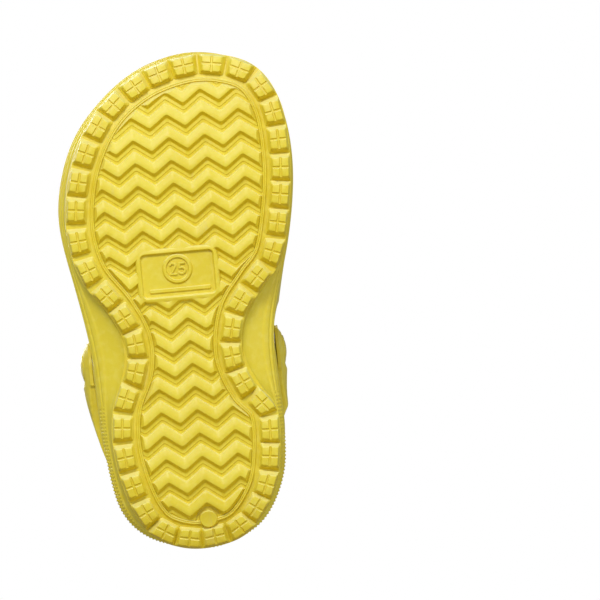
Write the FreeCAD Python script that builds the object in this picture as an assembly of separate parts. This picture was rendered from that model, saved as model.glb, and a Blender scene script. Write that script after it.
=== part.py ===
"""Child's moulded foam garden clog, right foot, with a heel strap that swings on two snap rivets.

Millimetres. The toe points to -Y, the medial (big toe) side is +X and Z is up. The clog stands on
its tread lugs at Z = 0, and the origin is the middle of its footprint.

The foam body is made in three layers that meet face to face: the outsole with its tread, the
midsole with the footbed, and the upper with its vents. The strap, washers and rivets are separate.
"""
import FreeCAD, Part
import math
import os

V = FreeCAD.Vector

# ---- driving dimensions --------------------------------------------------------------------------
LENGTH = 178.0                  # toe bumper to heel bumper
LUG_HEIGHT = 3.2                # tread relief below the skin
SKIN = 2.0                      # outsole skin that carries the lugs
TOE_SPRING = 6.5                # how far the tread lifts at the toe tip
TOE_SPRING_FROM = -45.0
HEEL_BEVEL = 4.5                # how far it lifts at the back edge of the heel
HEEL_BEVEL_FROM = 62.0
RIM_LIFT = 14.0                 # widest line of the sole above the ground line: midsole meets upper
FOOTBED_Z = 13.0
WALL = 3.8                      # foam wall of the upper

LUG_COUNT = 42
LUG_BASE = (8.4, 5.8)           # along and across the ring of lugs
LUG_TOP = (6.6, 5.0)
TREAD_EDGE = 3.8                # from the lugs' centre line out to the edge of the skin
RAIL_IN = 5.7                   # from the lugs' centre line in to the middle of the rail
RAIL_WIDTH = 1.4
RAIL_HEIGHT = 1.4
FIELD_IN = 6.9                  # from the lugs' centre line in to where the chevrons end

CHEVRON_PITCH = 8.2             # heel to toe
CHEVRON_WAVE = 12.8             # across
CHEVRON_SWING = 4.9             # peak to valley
CHEVRON_FIRST = -77.0           # Y of the first ridge at its peaks
CHEVRON_COUNT = 20
CHEVRON_TOP, CHEVRON_FOOT = 3.4, 5.6
CHEVRON_SHY = 0.6               # how far the ridges stop short of the ground

PLAQUE_AT, PLAQUE_SIZE = (-1.9, -9.6), (26.0, 15.6)     # recessed size plaque
PLAQUE_LAND = 2.0
PLAQUE_DEPTH = 1.4
RING_AT, RING_RADIUS, RING_WIDTH = (-2.0, -11.6), 5.3, 1.2
BAR_AT, BAR_SIZE = (-1.6, -4.2), (22.0, 1.6)
PLAQUE_RELIEF = 0.6
GATE_AT, GATE_RADIUS = (0.7, 78.4), 3.3                 # moulding gate mark at the heel

PIVOT_Y, PIVOT_Z = 21.0, 41.5   # the strap's hinge line, along X
BOSS_X = {"lateral": -35.0, "medial": 30.0}             # flat face under each end of the strap
BOSS_RADIUS, BOSS_DEPTH = 9.6, 5.0
SWEEP_RADIUS, SWEEP_LIFT = 17.0, 0.5                    # shallow flat that clears the strap's arms
WASHER_RADIUS, WASHER_THICK = 7.0, 0.8
SIDE_PLAY = 0.3                 # between washer and strap; half of it under the rivet's head
STRAP_THICK = 4.4
STRAP_HEIGHT = 12.0
STRAP_END_RADIUS = 9.0
STRAP_RISE = 8.0                # how much higher the strap is behind the heel than at its ends
SHANK_RADIUS = 2.6
RUNNING_CLEARANCE = 0.08
HEAD_RADIUS, HEAD_THICK, HEAD_PROUD = 5.2, 2.0, 0.5
CAP_RADIUS, CAP_THICK, CAP_FLOOR = 6.0, 2.6, 0.8

STRAP_OUT = WASHER_THICK + SIDE_PLAY + STRAP_THICK      # from the boss to the strap's outer face
HEAD_START = STRAP_OUT + HEAD_PROUD - HEAD_THICK        # from the boss to the underside of the rivet's head

VENT_RADIUS = 3.3
VENT_ROWS = ((-29.0, 4, 12.5), (-41.0, 5, 12.5), (-53.0, 4, 12.5), (-64.5, 3, 12.5))
SIDE_VENT_RADIUS = 3.0
# bearing from the toe, and height
SIDE_VENTS = ((-84, 29), (-65, 30), (-46, 31), (46, 31), (65, 30), (84, 29))

AROUND = 48                     # poles round the body's surfaces
NECK_TOP = 100.0                # the body's working surfaces run up to here before the collar is cut
HALF_SPAN = 70.0                # half the width of the cutting solids

# The widest line of the sole from above, then the lugs' centre line: medial side, then lateral.
RIM = ((6, -89), (22, -87), (34.5, -79), (41, -66), (43, -48), (41, -29), (36.5, -10), (32, 5),
       (30, 22), (30.8, 50), (28.5, 67), (19.5, 82), (4, 89),
       (-9, 88), (-20.3, 84.2), (-28.6, 76.1), (-32, 66), (-34.2, 48), (-35.5, 18), (-39, -6), (-42, -22),
       (-42.6, -38), (-37.4, -56.5), (-28, -70.5), (-12, -83.5))
LUG_PATH = ((7, -83.6), (20, -82.9), (30.7, -77.8), (36.8, -66), (38.2, -49), (36.7, -33), (32.1, -14),
            (24.5, -4.3), (17.2, 5.8), (14.5, 20), (18.4, 32.7), (24.8, 41.3), (25.1, 54), (21.8, 69),
            (12.7, 81.3), (1, 85), (-9.5, 84), (-18.3, 78.7), (-23.9, 67), (-27, 51), (-25.6, 36),
            (-20.1, 23), (-19.7, 12), (-24.4, 1), (-33.4, -13), (-36.4, -30), (-32.6, -50.5),
            (-22.9, -68), (-9, -78.8))
# lugs are not quite evenly spaced: (number from the toe, shift as a share of the pitch)
LUG_DRIFT = ((0, 0), (8, -0.03), (11, 0.11), (16, 0.1), (18, 0.03), (24, -0.47), (28, -0.25), (32, -0.24),
             (35, 0.03), (38, 0.15), (42, 0))

# The collar, where the foot goes in: an oval from above, and its edge's height along the foot.
COLLAR_MIDDLE, COLLAR_HALF = (-2.3, 31.0), (31.5, 44.5)
COLLAR_FRONT_WIDENING, COLLAR_HEEL_NARROWING = 0.28, 0.08
COLLAR_EDGE = ((-14, 66), (-8, 61), (0, 55.5), (10, 52.5), (22, 51), (38, 48), (56, 44.5), (76, 43.5))

# The strap's outer face from above between its straight ends, from the lateral side round the heel.
STRAP_PLAN = ((-37.8, 49), (-31.3, 66), (-18.5, 81), (-2.5, 86.6), (13.5, 81), (26.3, 66), (32.8, 49))
STRAP_BEND_Y = 31.0             # where the straight ends begin


# ---- curves ----------------------------------------------------------------------------------------
def smooth_loop(points, per_span=16):
    """Points on the closed Catmull-Rom curve through the given ones."""
    count, out = len(points), []
    for i in range(count):
        near = [points[(i + k) % count] for k in (-1, 0, 1, 2)]
        for j in range(per_span):
            t = j / per_span
            out.append(tuple(0.5 * (2 * b + (c - a) * t + (2 * a - 5 * b + 4 * c - d) * t ** 2
                                    + (3 * b - a - 3 * c + d) * t ** 3) for a, b, c, d in zip(*near)))
    return out


def even_loop(points, n):
    """n evenly spaced points of a closed polyline."""
    closed = points + points[:1]
    steps = [math.dist(a, b) for a, b in zip(closed, closed[1:])]
    pitch, out, walked, k = sum(steps) / n, [], 0.0, 0
    for i in range(n):
        while walked + steps[k] < i * pitch:
            walked += steps[k]
            k += 1
        t = (i * pitch - walked) / steps[k]
        out.append(tuple(a + (b - a) * t for a, b in zip(closed[k], closed[k + 1])))
    return out


def frame_at(points, i):
    """Outward normal and tangent of a loop at point i; the medial side of a loop comes first."""
    (ax, ay), (bx, by) = points[i - 1], points[(i + 1) % len(points)]
    size = math.hypot(bx - ax, by - ay)
    tx, ty = (bx - ax) / size, (by - ay) / size
    return (ty, -tx), (tx, ty)


def offset_loop(points, distance):
    """The loop moved outward by distance, or inward where it is negative."""
    out = []
    for i, (x, y) in enumerate(points):
        (nx, ny), _ = frame_at(points, i)
        out.append((x + nx * distance, y + ny * distance))
    return out


def by_bearing(points, n):
    """n points of a loop whose Y runs evenly by angle: pole 0 at the toe, the medial side first."""
    ys = [p[1] for p in points]
    toe, heel = ys.index(min(ys)), ys.index(max(ys))
    turned = points[toe:] + points[:toe]
    split = (heel - toe) % len(points)
    medial, lateral = turned[:split + 1], (turned[split:] + turned[:1])[::-1]
    low, high, out = min(ys), max(ys), []
    for i in range(n):
        bearing = 2 * math.pi * i / n
        side = medial if bearing <= math.pi else lateral
        y = (low + high) / 2 - (high - low) / 2 * math.cos(bearing)
        k = next((k for k in range(1, len(side)) if side[k][1] >= y), len(side) - 1)
        (x0, y0), (x1, y1) = side[k - 1], side[k]
        t = (y - y0) / (y1 - y0) if y1 > y0 else 0.0
        out.append((x0 + (x1 - x0) * t, y))
    return out


def through(stations, y):
    """Height at y on straight runs between (y, height) stations."""
    y = min(max(y, stations[0][0]), stations[-1][0])
    for (y0, z0), (y1, z1) in zip(stations, stations[1:]):
        if y <= y1:
            return z0 + (z1 - z0) * (y - y0) / (y1 - y0)


def ground_z(y):
    """Height of the tread's contact surface along the foot."""
    half = LENGTH / 2
    toe = max(0.0, TOE_SPRING_FROM - y) / (half + TOE_SPRING_FROM)
    heel = max(0.0, y - HEEL_BEVEL_FROM) / (half - HEEL_BEVEL_FROM)
    return TOE_SPRING * toe ** 2 + HEEL_BEVEL * heel ** 2


# ---- cutting solids --------------------------------------------------------------------------------
def prism(points, low, high):
    """A solid with a smooth closed outline between two heights."""
    curve = Part.BSplineCurve()
    curve.interpolate(Points=[V(x, y, low) for x, y in points], PeriodicFlag=True)
    return Part.Face(Part.Wire(curve.toShape())).extrude(V(0, 0, high - low))


def side_curve(profile, slopes=None):
    """A smooth edge through (y, z) points, with end slopes dz/dy where they are given."""
    curve = Part.BSplineCurve()
    points = [V(-HALF_SPAN, y, z) for y, z in profile]
    if slopes:
        first, last = (V(0, 1, slope) for slope in slopes)
        curve.interpolate(Points=points, InitialTangent=first, FinalTangent=last)
    else:
        curve.interpolate(points)
    return curve.toShape()


def side_slab(edges, start, end, close_z):
    """A solid right across the clog, between side profile edges and a level close_z."""
    corners = [V(-HALF_SPAN, *end), V(-HALF_SPAN, end[0], close_z), V(-HALF_SPAN, start[0], close_z),
               V(-HALF_SPAN, *start)]
    edges = edges + [Part.makeLine(a, b) for a, b in zip(corners, corners[1:])]
    return Part.Face(Part.Wire(edges)).extrude(V(2 * HALF_SPAN, 0, 0))


def below(lift):
    """Everything under the ground line raised by lift: toe spring, level run and heel bevel."""
    tip, back = -LENGTH / 2 - 5, LENGTH / 2 + 5
    toe = [(y, ground_z(y) + lift) for y in (tip, -84, -74, -64, -54, TOE_SPRING_FROM)]
    heel = [(y, ground_z(y) + lift) for y in (HEEL_BEVEL_FROM, 70, 78, 86, back)]
    toe_slope = -2 * TOE_SPRING * (TOE_SPRING_FROM - tip) / (LENGTH / 2 + TOE_SPRING_FROM) ** 2
    heel_slope = 2 * HEEL_BEVEL * (back - HEEL_BEVEL_FROM) / (LENGTH / 2 - HEEL_BEVEL_FROM) ** 2
    level = Part.makeLine(V(-HALF_SPAN, *toe[-1]), V(-HALF_SPAN, *heel[0]))
    edges = [side_curve(toe, (toe_slope, 0)), level, side_curve(heel, (0, heel_slope))]
    return side_slab(edges, toe[0], heel[-1], -40.0)


def under_bond():
    """Everything under the bond of tread and midsole: flat runs, so that the two foams meet exactly."""
    tip, back = -LENGTH / 2 - 5, LENGTH / 2 + 5
    ys = (tip, -80, -72, -63, -54, TOE_SPRING_FROM, HEEL_BEVEL_FROM, 68, 74, 80, back)
    profile = [(y, ground_z(y) + LUG_HEIGHT + SKIN) for y in ys]
    corners = [V(-HALF_SPAN, y, z) for y, z in profile]
    edges = [Part.makeLine(a, b) for a, b in zip(corners, corners[1:])]
    return side_slab(edges, profile[0], profile[-1], -40.0)


def above_collar():
    (front_y, front_z), (back_y, back_z) = COLLAR_EDGE[0], COLLAR_EDGE[-1]
    start, end = (front_y - 25, front_z + 4), (back_y + 20, back_z + 2)
    return side_slab([side_curve([start, *COLLAR_EDGE, end])], start, end, NECK_TOP + 20)


# ---- body surfaces ---------------------------------------------------------------------------------
def collar_at(i, n):
    """Point i of n on the collar, seen from above."""
    bearing = 2 * math.pi * i / n
    heel = (1 - math.cos(bearing)) / 2
    shaped = 1 + COLLAR_FRONT_WIDENING * (1 - heel) ** 4 - COLLAR_HEEL_NARROWING * heel ** 2
    half_width = COLLAR_HALF[0] * shaped
    return (COLLAR_MIDDLE[0] + half_width * math.sin(bearing),
            COLLAR_MIDDLE[1] - COLLAR_HALF[1] * math.cos(bearing))


def between(a, b, share):
    return tuple(p + (q - p) * share for p, q in zip(a, b))


def outer_poles():
    """Columns of poles, from under the tread up past the collar."""
    rim = by_bearing(smooth_loop(RIM), AROUND)
    inner_rim = offset_loop(rim, -1.8)
    tread = by_bearing(offset_loop(smooth_loop(LUG_PATH), TREAD_EDGE), AROUND)
    columns = []
    for i in range(AROUND):
        r, u, t, k = rim[i], inner_rim[i], tread[i], collar_at(i, AROUND)
        toe = (1 + math.cos(2 * math.pi * i / AROUND)) / 2
        heel = 1 - toe
        rim_z = ground_z(r[1]) + RIM_LIFT
        skin_z = ground_z(t[1]) + LUG_HEIGHT
        collar_z = through(COLLAR_EDGE, k[1])
        shoulder_z = rim_z + 12 + 8 * toe ** 2 - heel ** 2
        climb = collar_z - shoulder_z
        m1, m2 = between(k, r, 0.74 - 0.14 * heel), between(k, r, 0.36 - 0.12 * heel)
        columns.append([
            V(*t, -8), V(*t, -2), V(*t, skin_z), V(*t, skin_z + SKIN),
            V(*between(t, u, 0.3), skin_z + SKIN + 0.5 * (rim_z - 4 - skin_z - SKIN)),
            V(*u, rim_z - 3.5), V(*r, rim_z - 0.5), V(*r, rim_z + 5),
            V(*between(r, k, 0.04 + 0.10 * heel), shoulder_z),
            V(*m1, shoulder_z + 0.5 * climb), V(*m2, shoulder_z + 0.83 * climb),
            V(*k, collar_z), V(*k, collar_z + 5), V(*k, 92), V(*k, NECK_TOP)])
    return columns


def inner_poles(outer):
    """The outer poles from the rim up, moved in by the wall, over a flat footbed."""
    count, columns = len(outer), []
    for i, column in enumerate(outer):
        left, right = outer[i - 1], outer[(i + 1) % count]
        moved = []
        for j in range(7, len(column) - 1):
            normal = (right[j] - left[j]).cross(column[j + 1] - column[j - 1]).normalize()
            moved.append(column[j] - normal * WALL)
        moved.append(V(moved[-1].x, moved[-1].y, NECK_TOP))
        rim = moved[0]
        heart = V(COLLAR_MIDDLE[0], 0, 0)
        inward = V(heart.x - rim.x, (heart.y - rim.y) * 0.4, 0).normalize()
        low = [V(rim.x, rim.y, 0) + inward * reach for reach in (14, 2.5, 0)]
        floor = [V(p.x, p.y, z) for p, z in zip(low, (FOOTBED_Z, FOOTBED_Z, FOOTBED_Z + 3))]
        columns.append(floor + moved)
    return columns


def pole_solid(columns, seam):
    """A closed solid: a smooth surface over the columns of poles, and a flat face at either end.

    The surface's seam runs up column number seam, which is kept clear of what is cut later.
    """
    n, m = len(columns), len(columns[0])
    columns = columns[seam:] + columns[:seam]
    # a cubic spline passes inside its poles, so they are moved out to make it pass through them
    poles = [[p + (p * 2 - before - after) * (1 / 6) for before, p, after in zip(columns[i - 1], columns[i],
                                                                                columns[(i + 1) % n])]
             for i in range(n)]
    spans = m - 3
    wall = Part.BSplineSurface()
    wall.buildFromPolesMultsKnots(poles, [1] * (n + 1), [4] + [1] * (spans - 1) + [4],
                                  [float(i) for i in range(n + 1)], [float(i) for i in range(spans + 1)],
                                  True, False, 3, 3)
    ends = [Part.Face(Part.Wire(wall.vIso(v).toShape())) for v in (0.0, float(spans))]
    shell = Part.makeShell([wall.toShape()] + ends)
    shell.sewShape()
    solid = Part.makeSolid(shell)
    if solid.Volume < 0:
        solid.reverse()
    return solid


# ---- outsole ---------------------------------------------------------------------------------------
def drafted(base, top, z_base, z_top):
    """A solid with flat sides between two polygons of as many corners."""
    wires = [Part.makePolygon([V(x, y, z) for x, y in corners + corners[:1]])
             for corners, z in ((base, z_base), (top, z_top))]
    return Part.makeLoft(wires, True, True)


def rectangle(centre, along, across, size):
    return [tuple(c + s * size[0] / 2 * a + t * size[1] / 2 * b for c, a, b in zip(centre, along, across))
            for s, t in ((-1, -1), (1, -1), (1, 1), (-1, 1))]


def lug_blocks():
    steps = 20
    ring = even_loop(smooth_loop(LUG_PATH), LUG_COUNT * steps)
    blocks = []
    for k in range(LUG_COUNT):
        i = round((k + through(LUG_DRIFT, k)) * steps) % len(ring)
        normal, tangent = frame_at(ring, i)
        z = ground_z(ring[i][1])
        foot, top = (rectangle(ring[i], tangent, normal, size) for size in (LUG_BASE, LUG_TOP))
        blocks.append(drafted(foot, top, z + LUG_HEIGHT + SKIN / 2, z - 1))
    return blocks


def wave_band(y_peak, half_width):
    """The outline of one zigzag ridge at one height."""
    line = [(k * CHEVRON_WAVE / 2, y_peak + (CHEVRON_SWING if k % 2 else 0.0)) for k in range(-8, 9)]
    return [(x, y - half_width) for x, y in line] + [(x, y + half_width) for x, y in line[::-1]]


def chevron_ridges():
    ridges = []
    for k in range(CHEVRON_COUNT):
        y = CHEVRON_FIRST + k * CHEVRON_PITCH
        z = ground_z(y + CHEVRON_SWING / 2)
        ridges.append(drafted(wave_band(y, CHEVRON_FOOT / 2), wave_band(y, CHEVRON_TOP / 2),
                              z + LUG_HEIGHT + SKIN / 2, z - 1))
    return ridges


def block(at, size, low, high):
    return Part.makeBox(size[0], size[1], high - low, V(at[0] - size[0] / 2, at[1] - size[1] / 2, low))


def post(at, radius, low, high):
    return Part.makeCylinder(radius, high - low, V(*at, low))


def rounded(shape, radius):
    """The solid with its upright edges rounded."""
    upright = [e for e in shape.Edges if abs(e.tangentAt(e.FirstParameter).z) > 0.99]
    return shape.makeFillet(radius, upright)


def outsole(outer):
    path = smooth_loop(LUG_PATH)
    into_skin = LUG_HEIGHT + SKIN / 2
    skin = outer.common(under_bond()).cut(below(LUG_HEIGHT))
    field = prism(offset_loop(path, -FIELD_IN), -2, into_skin + TOE_SPRING)
    land_size = [s + 2 * PLAQUE_LAND for s in PLAQUE_SIZE]
    land = rounded(block(PLAQUE_AT, land_size, CHEVRON_SHY, into_skin), 2.5)
    gate = post(GATE_AT, GATE_RADIUS, 1.5, into_skin + ground_z(GATE_AT[1]))
    keep_out = [block(PLAQUE_AT, land_size, -2, 20), post(GATE_AT, GATE_RADIUS + 1.0, -2, 20)]
    ridges = Part.makeCompound(chevron_ridges()).common(field).cut(keep_out).cut(below(CHEVRON_SHY))
    rail = prism(offset_loop(path, RAIL_WIDTH / 2 - RAIL_IN), -2, into_skin + TOE_SPRING).cut(
        prism(offset_loop(path, -RAIL_WIDTH / 2 - RAIL_IN), -2, into_skin + TOE_SPRING))
    rail = rail.common(below(into_skin)).cut(below(LUG_HEIGHT - RAIL_HEIGHT))
    lugs = Part.makeCompound(lug_blocks()).cut(below(0))
    pocket = rounded(block(PLAQUE_AT, PLAQUE_SIZE, -1, CHEVRON_SHY + PLAQUE_DEPTH), 1.5)
    floor, face = CHEVRON_SHY + PLAQUE_DEPTH + 0.3, CHEVRON_SHY + PLAQUE_DEPTH - PLAQUE_RELIEF
    ring = post(RING_AT, RING_RADIUS, face, floor)
    ring = ring.cut(post(RING_AT, RING_RADIUS - RING_WIDTH, face - 1, floor + 1))
    bar = block(BAR_AT, BAR_SIZE, face, floor)
    tread = skin.fuse([*lugs.Solids, *ridges.Solids, rail, land, gate])
    return tread.cut(pocket).fuse([ring, bar]).removeSplitter()


# ---- midsole and upper -----------------------------------------------------------------------------
def along_x(side, start, length, radius):
    """A cylinder on the hinge line. start and length are measured outward from the boss's flat face."""
    out = math.copysign(1, BOSS_X[side])
    return Part.makeCylinder(radius, length, V(BOSS_X[side] + out * start, PIVOT_Y, PIVOT_Z), V(out, 0, 0))


def vents():
    """Cutters for the drain and air holes: straight down on top, level round the toe."""
    cutters = []
    for y, count, spacing in VENT_ROWS:
        for k in range(count):
            cutters.append(post((0.8 + (k - (count - 1) / 2) * spacing, y), VENT_RADIUS, 34, 90))
    for degrees, z in SIDE_VENTS:
        a = math.radians(degrees)
        axis = V(math.sin(a), -math.cos(a), 0)
        cutters.append(Part.makeCylinder(SIDE_VENT_RADIUS, 40, V(1, -48, z) + axis * 18, axis))
    return cutters


def midsole(outer, cavity):
    return outer.common(below(RIM_LIFT)).cut(under_bond()).cut(cavity)


def upper_shell(outer, cavity):
    shell = outer.cut([below(RIM_LIFT), above_collar(), cavity])
    sides = list(BOSS_X)
    shell = shell.fuse([along_x(side, -BOSS_DEPTH, BOSS_DEPTH, BOSS_RADIUS) for side in sides])
    shell = shell.cut([along_x(side, 0, 12, BOSS_RADIUS + 1.5) for side in sides])
    shell = shell.cut([along_x(side, SWEEP_LIFT, 12, SWEEP_RADIUS) for side in sides])
    holes = [along_x(side, -BOSS_DEPTH - 4, BOSS_DEPTH + 8, SHANK_RADIUS) for side in sides]
    return shell.cut(holes + vents())


# ---- strap and its hardware ------------------------------------------------------------------------
def washer(side):
    hole = along_x(side, -1, 4, SHANK_RADIUS + RUNNING_CLEARANCE)
    return along_x(side, 0, WASHER_THICK, WASHER_RADIUS).cut(hole)


def rivet_post(side):
    """Head in the strap's counterbore, and a shank through strap, washer and wall."""
    inner_end = -BOSS_DEPTH - CAP_THICK + CAP_FLOOR
    head = along_x(side, HEAD_START, HEAD_THICK, HEAD_RADIUS)
    rim = max(head.Edges, key=lambda e: e.CenterOfMass.x * math.copysign(1, BOSS_X[side]))
    head = head.makeFillet(0.9, [rim])
    return head.fuse(along_x(side, inner_end, HEAD_START - inner_end, SHANK_RADIUS))


def rivet_socket(side):
    """Cap inside the collar that the shank snaps into."""
    cap = along_x(side, -BOSS_DEPTH - CAP_THICK, CAP_THICK, CAP_RADIUS)
    end = min(cap.Edges, key=lambda e: e.CenterOfMass.x * math.copysign(1, BOSS_X[side]))
    bore = along_x(side, -BOSS_DEPTH - CAP_THICK + CAP_FLOOR, CAP_THICK, SHANK_RADIUS)
    return cap.makeFillet(1.0, [end]).cut(bore)


def plan_edges(points, directions, front_y):
    """Curve through the points, and a straight run forward from either end to front_y."""
    curve = Part.BSplineCurve()
    curve.interpolate(Points=points, InitialTangent=directions[0], FinalTangent=directions[-1])
    first, last = points[0], points[-1]
    return [Part.makeLine(V(first.x, front_y, 0), first), curve.toShape(),
            Part.makeLine(last, V(last.x, front_y, 0))]


def heel_strap():
    front_y = PIVOT_Y - 2 * STRAP_END_RADIUS
    guide = Part.BSplineCurve()
    bends = [(BOSS_X[side] + math.copysign(STRAP_OUT, BOSS_X[side]), STRAP_BEND_Y) for side in BOSS_X]
    guide.interpolate(Points=[V(x, y, 0) for x, y in (bends[0], *STRAP_PLAN, bends[1])],
                      InitialTangent=V(0, 1, 0), FinalTangent=V(0, -1, 0))
    first, last = guide.FirstParameter, guide.LastParameter
    marks = [first + (last - first) * k / 16 for k in range(17)]
    directions = [guide.tangent(m)[0] for m in marks]
    outer = [guide.value(m) for m in marks]
    inner = [p + V(d.y, -d.x, 0) * STRAP_THICK for p, d in zip(outer, directions)]
    outside, inside = (plan_edges(points, directions, front_y) for points in (outer, inner))
    ends = [Part.makeLine(V(outer[k].x, front_y, 0), V(inner[k].x, front_y, 0)) for k in (0, -1)]
    band = Part.Face(Part.Wire(Part.__sortEdges__(outside + inside + ends))).extrude(V(0, 0, 120))
    half, far = STRAP_HEIGHT / 2, LENGTH / 2 + 5
    tip = PIVOT_Z + STRAP_RISE
    corners = [V(-70, PIVOT_Y, PIVOT_Z - half), V(-70, far, tip - half), V(-70, far, tip + half),
               V(-70, PIVOT_Y, PIVOT_Z + half)]
    run = Part.Face(Part.makePolygon(corners + corners[:1])).extrude(V(140, 0, 0))
    rounds = Part.makeCylinder(STRAP_END_RADIUS, 140, V(-70, PIVOT_Y, PIVOT_Z), V(1, 0, 0))
    strap = band.common(run.fuse(rounds))
    for side in BOSS_X:
        strap = strap.cut(along_x(side, -1, 12, SHANK_RADIUS + RUNNING_CLEARANCE))
        strap = strap.cut(along_x(side, HEAD_START - SIDE_PLAY / 2, 6, HEAD_RADIUS + 0.3))
    return strap


def main():
    outer_columns = outer_poles()
    toe, heel = 0, AROUND // 2
    outer, cavity = pole_solid(outer_columns, heel), pole_solid(inner_poles(outer_columns), heel)
    nodes = {"outsole": outsole(pole_solid(outer_columns, toe)), "midsole": midsole(outer, cavity),
             "upper_shell": upper_shell(outer, cavity), "heel_strap": heel_strap()}
    for side in BOSS_X:
        nodes[side + "_washer"] = washer(side)
        nodes[side + "_rivet_post"] = rivet_post(side)
        nodes[side + "_rivet_socket"] = rivet_socket(side)
    os.makedirs("parts", exist_ok=True)
    for name, shape in nodes.items():
        shape.exportStep("parts/" + name + ".step")
        box = shape.BoundBox
        print(f"{name}: {len(shape.Solids)} solid, valid {shape.isValid()}, {shape.Volume / 1000:.1f} cm3, "
              f"{box.XLength:.1f} x {box.YLength:.1f} x {box.ZLength:.1f} mm")


main()
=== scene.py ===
"""Moulded foam garden clog, right foot, seen from below: detailed meshes and materials on the CAD frame.

The toe points to -Y, the medial (big toe) side is +X and Z is up. Lengths in the design lists are
millimetres, as in the part; MM turns them into Blender's metres. Only the camera, the lights and the
floor are placed in metres.
"""
import math

import bmesh
import bpy
import numpy as np
from mathutils import Matrix, Vector


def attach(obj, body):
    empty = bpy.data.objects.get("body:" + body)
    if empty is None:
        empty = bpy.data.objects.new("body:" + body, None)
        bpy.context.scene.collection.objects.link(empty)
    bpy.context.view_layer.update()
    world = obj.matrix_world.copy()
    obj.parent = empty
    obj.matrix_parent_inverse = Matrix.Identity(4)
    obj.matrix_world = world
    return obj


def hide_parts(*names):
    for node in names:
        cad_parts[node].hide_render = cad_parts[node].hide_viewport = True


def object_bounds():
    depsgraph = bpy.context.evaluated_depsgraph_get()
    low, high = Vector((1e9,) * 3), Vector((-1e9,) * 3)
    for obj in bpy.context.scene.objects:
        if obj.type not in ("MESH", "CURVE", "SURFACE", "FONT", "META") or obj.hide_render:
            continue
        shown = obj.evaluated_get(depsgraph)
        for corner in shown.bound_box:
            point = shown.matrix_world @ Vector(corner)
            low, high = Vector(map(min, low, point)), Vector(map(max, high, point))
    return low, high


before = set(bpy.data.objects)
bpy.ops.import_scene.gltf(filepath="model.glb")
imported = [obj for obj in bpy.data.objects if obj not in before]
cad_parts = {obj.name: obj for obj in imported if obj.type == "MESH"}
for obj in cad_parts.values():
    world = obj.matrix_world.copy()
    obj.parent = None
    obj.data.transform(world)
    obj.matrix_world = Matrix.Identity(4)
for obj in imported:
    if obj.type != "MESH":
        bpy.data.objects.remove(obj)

CAD_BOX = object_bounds()
MM = 0.001

# ---- driving dimensions: the part's own, and the finer ones of the visible surface ---------------
LENGTH = 178.0
LUG_HEIGHT, SKIN = 3.2, 2.0
TOE_SPRING, TOE_SPRING_FROM = 6.5, -45.0
HEEL_BEVEL, HEEL_BEVEL_FROM = 4.5, 62.0
RIM_LIFT = 14.0                 # widest line of the sole over the ground line: midsole meets upper
LUG_COUNT = 42
LUG_BASE, LUG_TOP = (8.8, 7.0), (6.8, 5.6)              # along and across the ring of lugs
CROSS_WIDTH, CROSS_DEPTH, CROSS_REACH = 0.88, 0.65, 5.5         # the plus sign cut into each lug
TREAD_EDGE = 3.8                # from the lugs' centre line out to the edge of the skin
RAIL_IN, RAIL_WIDTH = 5.7, 1.6  # from that line in to the middle of the rail
FIELD_IN = 6.5                  # and in to where the chevrons end
CHEVRON_PITCH, CHEVRON_WAVE, CHEVRON_SWING = 8.2, 12.8, 4.9
CHEVRON_FIRST = -82.3           # Y of the foot of a ridge's heel-side wall, at its peaks
CHEVRON_DRIFT = 0.0098          # sideways, for each millimetre towards the heel
CHEVRON_COUNT = 21
PLAQUE_AT, PLAQUE_SIZE = (-1.9, -9.6), (26.0, 15.6)
PLAQUE_LAND_Z = 0.52            # the raised frame of the size plaque, over the ground line
PLAQUE_DEPTH, PLAQUE_RELIEF = 1.5, 0.85                 # of the pocket, and of the marks in it
GATE_AT, GATE_RADIUS = (0.7, 78.4), 3.3
RING_AT, RING_RADIUS, RING_WIDTH = (-2.0, -11.6), 5.3, 1.2
BAR_AT, BAR_SIZE = (-1.6, -4.2), (22.0, 1.6)
NUMERAL_WIDENING, NUMERAL_STROKE = 1.12, 0.7

KNURL_PITCH, KNURL_ROW = 1.3, 1.8                       # of the studs round the heel
KNURL_DEPTH, KNURL_FROM = 0.31, 34.0                    # KNURL_FROM is the Y where they start
GRIP_HEIGHT = 9.0               # of the knurled band over the seam
NUB_RADIUS, NUB_PITCH = 1.25, 4.6

LUG_PATH = ((7, -83.6), (20, -82.9), (30.7, -77.8), (36.8, -66), (38.2, -49), (36.7, -33), (32.1, -14),
            (24.5, -4.3), (17.2, 5.8), (14.5, 20), (18.4, 32.7), (24.8, 41.3), (25.1, 54), (21.8, 69),
            (12.7, 81.3), (1, 85), (-9.5, 84), (-18.3, 78.7), (-23.9, 67), (-27, 51), (-25.6, 36),
            (-20.1, 23), (-19.7, 12), (-24.4, 1), (-33.4, -13), (-36.4, -30), (-32.6, -50.5),
            (-22.9, -68), (-9, -78.8))
# The lugs are not quite evenly spaced: (number from the toe, shift as a share of the pitch).
LUG_DRIFT = ((0, 0), (8, -0.03), (11, 0.11), (16, 0.1), (18, 0.03), (24, -0.47), (28, -0.25), (32, -0.24),
             (35, 0.03), (38, 0.15), (42, 0))

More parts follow.
